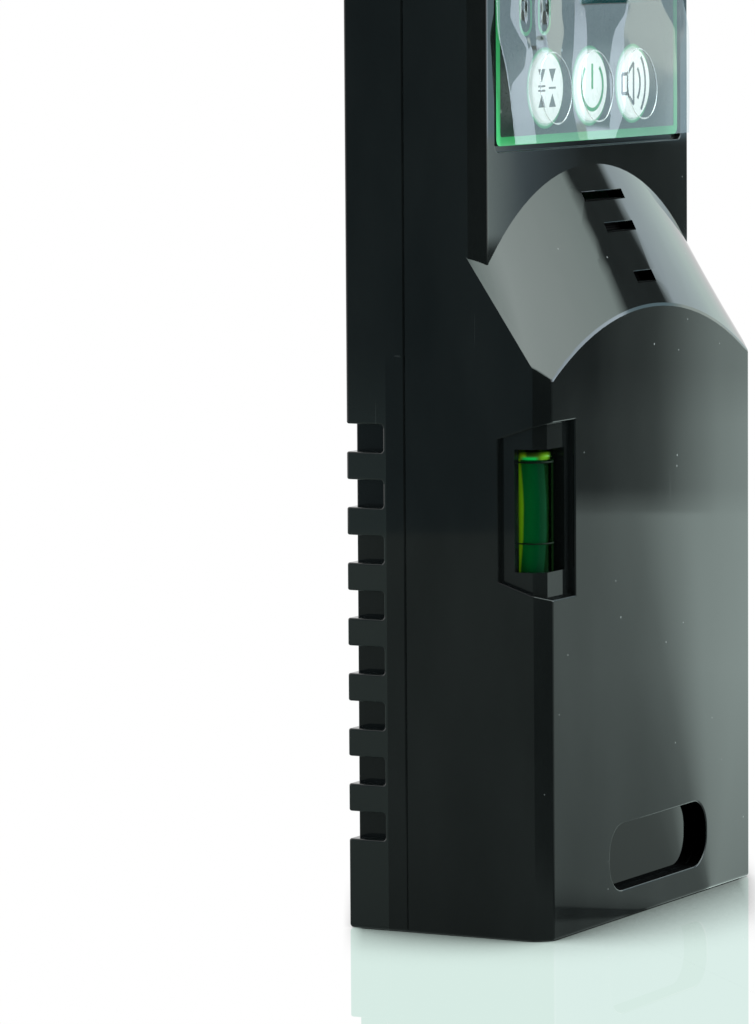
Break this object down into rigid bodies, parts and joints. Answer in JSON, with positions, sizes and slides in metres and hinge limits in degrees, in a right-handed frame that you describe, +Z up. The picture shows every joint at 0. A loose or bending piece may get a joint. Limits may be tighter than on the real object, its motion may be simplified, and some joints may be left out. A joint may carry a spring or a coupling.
{
  "type": "laser receiver",
  "caption": "Handheld laser receiver: stepped black case with an arched ramp, keypad panel, display, bubble vials, edge grips and a threaded clamp socket on the back.",
  "frame": {"origin": "middle of the base, on the surface the receiver stands on", "axes": "+Z up along the case, the panel and the lower front face -Y, the clamp socket faces +Y, +X to the right as the panel is read"},
  "size_m": [0.0708, 0.032, 0.17],
  "materials": {
    "case_black": "glossy moulded ABS with fine dust and scratches",
    "overlay_print": "black printed polycarbonate with a green border",
    "key_white": "white moulded caps with printed symbols",
    "clear_acrylic": "clear polished acrylic",
    "smoked_window": "dark smoked optical filter",
    "indicator_green": "dark translucent lens with a green ring",
    "clear_film": "thin clear protective film",
    "lcd_glass": "dark teal display glass",
    "backlight_white": "white light guide",
    "contact_rubber": "layered contact rubber",
    "board_green": "solder masked board",
    "chip_black": "moulded black resin",
    "diode_dark": "dark photodiode faces",
    "led_clear": "clear lamp bodies",
    "screen_cloth": "fine woven dust screen",
    "vial_liquid": "green level liquid",
    "battery_jacket": "plain printed metal jacket",
    "lead_red": "red lead insulation",
    "lead_black": "black lead insulation",
    "foam_pad": "soft closed foam",
    "insert_brass": "turned brass",
    "screw_steel": "zinc plated steel"
  },
  "bodies": {
    "case": {"front_shell": "case_black", "rear_shell": "case_black", "keypad_overlay": "overlay_print", "display_window": "clear_acrylic", "side_vial": "clear_acrylic", "top_vial": "clear_acrylic", "sensor_window": "smoked_window", "indicator_lenses": "indicator_green", "protective_film": "clear_film", "lcd_panel": "lcd_glass", "lcd_backlight": "backlight_white", "lcd_contact_strip": "contact_rubber", "main_board": "board_green", "controller_chip": "chip_black", "amplifier_chip": "chip_black", "key_switches": "chip_black", "photodiodes": "diode_dark", "indicator_leds": "led_clear", "buzzer": "chip_black", "buzzer_screen": "screen_cloth", "side_vial_liquid": "vial_liquid", "top_vial_liquid": "vial_liquid", "battery": "battery_jacket", "battery_snap": "chip_black", "battery_lead_red": "lead_red", "battery_lead_black": "lead_black", "clamp_insert": "insert_brass", "case_screws": "screw_steel", "board_screws": "screw_steel"},
    "key_resolution": {"key_resolution": "key_white"},
    "key_power": {"key_power": "key_white"},
    "key_sound": {"key_sound": "key_white"},
    "battery_door": {"battery_door": "case_black", "battery_pad": "foam_pad"}
  },
  "joints": [
    {"name": "key_resolution_press", "type": "slide", "parent": "case", "child": "key_resolution", "axis": [0, 1, 0], "range_m": [0, 0.0004], "stiffness_N_per_m": 2000},
    {"name": "key_power_press", "type": "slide", "parent": "case", "child": "key_power", "axis": [0, 1, 0], "range_m": [0, 0.0004], "stiffness_N_per_m": 2000},
    {"name": "key_sound_press", "type": "slide", "parent": "case", "child": "key_sound", "axis": [0, 1, 0], "range_m": [0, 0.0004], "stiffness_N_per_m": 2000},
    {"name": "battery_door_tilt", "type": "hinge", "parent": "case", "child": "battery_door", "pos_m": [0, 0.016, 0.0102], "axis": [-1, 0, 0], "range_deg": [0, 75]}
  ]
}
